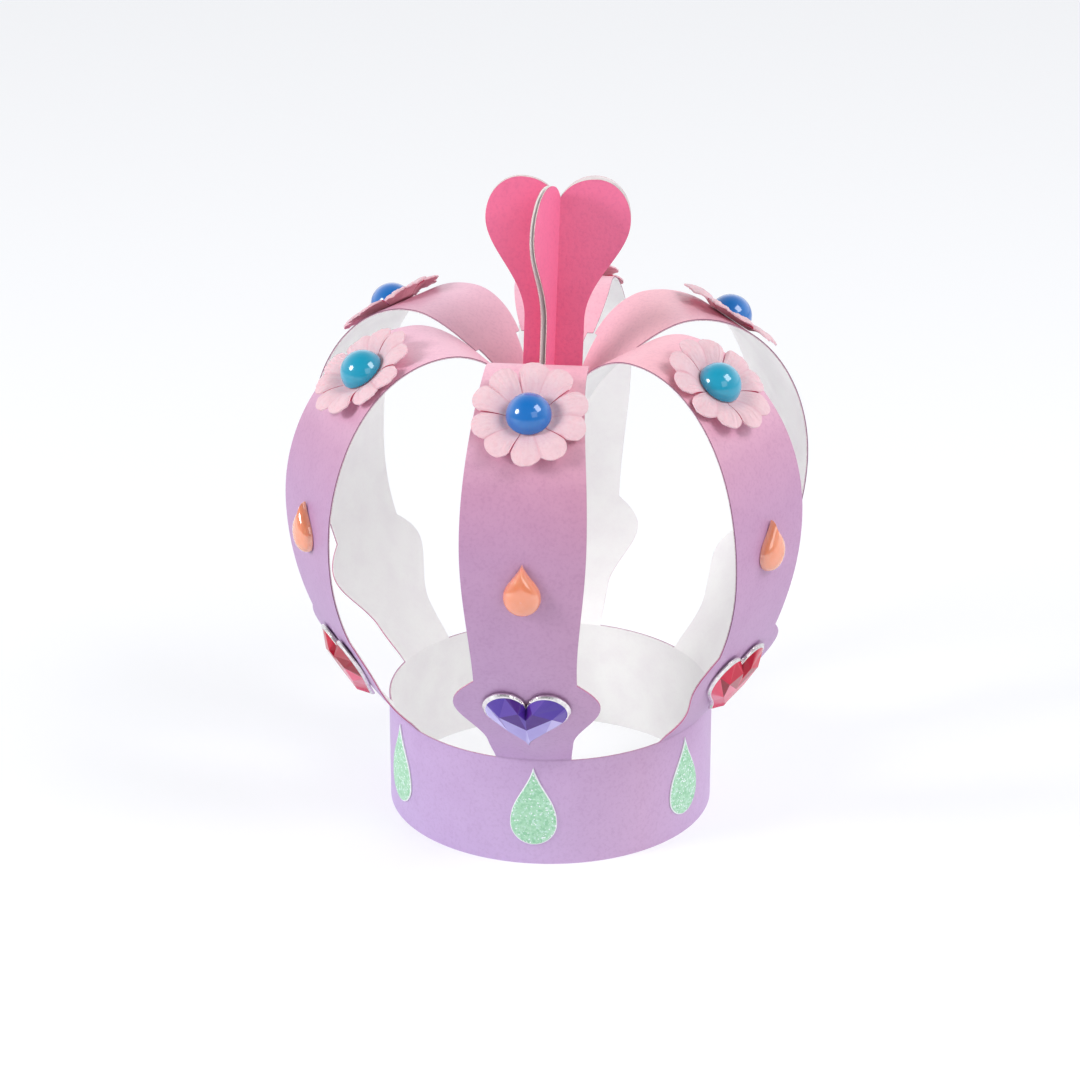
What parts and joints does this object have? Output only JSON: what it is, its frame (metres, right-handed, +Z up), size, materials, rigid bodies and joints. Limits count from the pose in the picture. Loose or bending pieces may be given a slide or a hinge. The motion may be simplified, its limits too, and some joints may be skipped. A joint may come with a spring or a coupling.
{
  "type": "paper crown",
  "caption": "Small card crown with bowed arms folded from its band, a folded heart topper, paper flowers, half pearls, stick-on gems and glitter drops.",
  "frame": {"origin": "middle of the band's lower edge, where the crown stands", "axes": "+Z up along the band's axis, -Y towards the first arm, which is the front"},
  "size_m": [0.1354, 0.1454, 0.1763],
  "materials": {
    "printed_card": "matte",
    "heart_card": "matte",
    "petal_paper": "matte",
    "pearl_blue": "gloss",
    "pearl_teal": "gloss",
    "pear_gem": "gloss",
    "heart_gem_violet": "gloss",
    "heart_gem_red": "gloss",
    "glitter_card": "satin"
  },
  "bodies": {
    "root": {"crown_sheet": "printed_card", "topper_heart_1": "heart_card", "topper_heart_2": "heart_card", "topper_heart_3": "heart_card", "flower_1": "petal_paper", "flower_2": "petal_paper", "flower_3": "petal_paper", "flower_4": "petal_paper", "flower_5": "petal_paper", "flower_6": "petal_paper", "pearl_1": "pearl_blue", "pearl_2": "pearl_teal", "pearl_3": "pearl_blue", "pearl_4": "pearl_teal", "pearl_5": "pearl_blue", "pearl_6": "pearl_teal", "pear_gem_1": "pear_gem", "pear_gem_2": "pear_gem", "pear_gem_3": "pear_gem", "pear_gem_4": "pear_gem", "pear_gem_5": "pear_gem", "pear_gem_6": "pear_gem", "heart_gem_1": "heart_gem_violet", "heart_gem_2": "heart_gem_red", "heart_gem_3": "heart_gem_violet", "heart_gem_4": "heart_gem_red", "heart_gem_5": "heart_gem_violet", "heart_gem_6": "heart_gem_red", "glitter_drop_1": "glitter_card", "glitter_drop_2": "glitter_card", "glitter_drop_3": "glitter_card", "glitter_drop_4": "glitter_card", "glitter_drop_5": "glitter_card", "glitter_drop_6": "glitter_card"}
  },
  "joints": []
}
